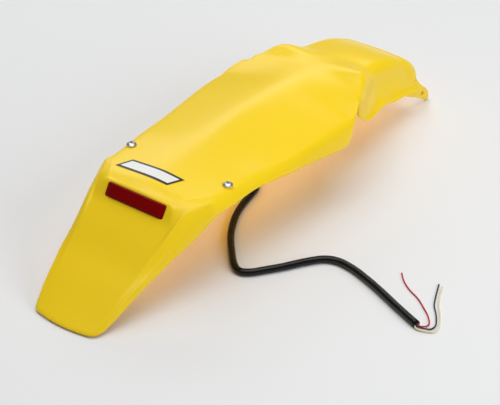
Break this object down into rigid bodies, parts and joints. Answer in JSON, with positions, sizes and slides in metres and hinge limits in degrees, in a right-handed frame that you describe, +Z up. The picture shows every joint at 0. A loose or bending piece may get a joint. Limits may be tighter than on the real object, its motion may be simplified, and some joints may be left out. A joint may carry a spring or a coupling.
{
  "type": "motorcycle rear fender",
  "caption": "Long crowned rear fender moulding for an off-road motorcycle, with a built-in tail light and its wire harness.",
  "frame": {"origin": "on the ground under the middle of the fender, harness left out", "axes": "+Y points to the front of the motorcycle, +X to its right side, +Z up, lying as in the picture: tail edge and front feet on the ground"},
  "size_m": [0.4435, 0.664, 0.1194],
  "materials": {
    "fender_plastic": "satin moulded polypropylene, mass coloured yellow",
    "housing_plastic": "fine grained black",
    "lens_plastic": "clear dark red, polished",
    "gasket_foam": "closed-cell foam",
    "board_laminate": "solder resist",
    "emitter_resin": "clear resin",
    "plated_steel": "bright zinc plated",
    "grommet_rubber": "matt",
    "sleeve_pvc": "glossy flexible PVC",
    "wire_red_pvc": "PVC insulation",
    "wire_black_pvc": "PVC insulation",
    "wire_white_pvc": "PVC insulation",
    "label_vinyl": "printed vinyl film, plain"
  },
  "bodies": {
    "root": {"fender_body": "fender_plastic", "lamp_housing": "housing_plastic", "lens": "lens_plastic", "lens_gasket": "gasket_foam", "light_board": "board_laminate", "light_emitters": "emitter_resin", "top_screws": "plated_steel", "washers": "plated_steel", "lock_nuts": "plated_steel", "cable_grommet": "grommet_rubber", "harness_sleeve": "sleeve_pvc", "wire_red": "wire_red_pvc", "wire_black": "wire_black_pvc", "wire_white": "wire_white_pvc", "label": "label_vinyl"}
  },
  "joints": []
}
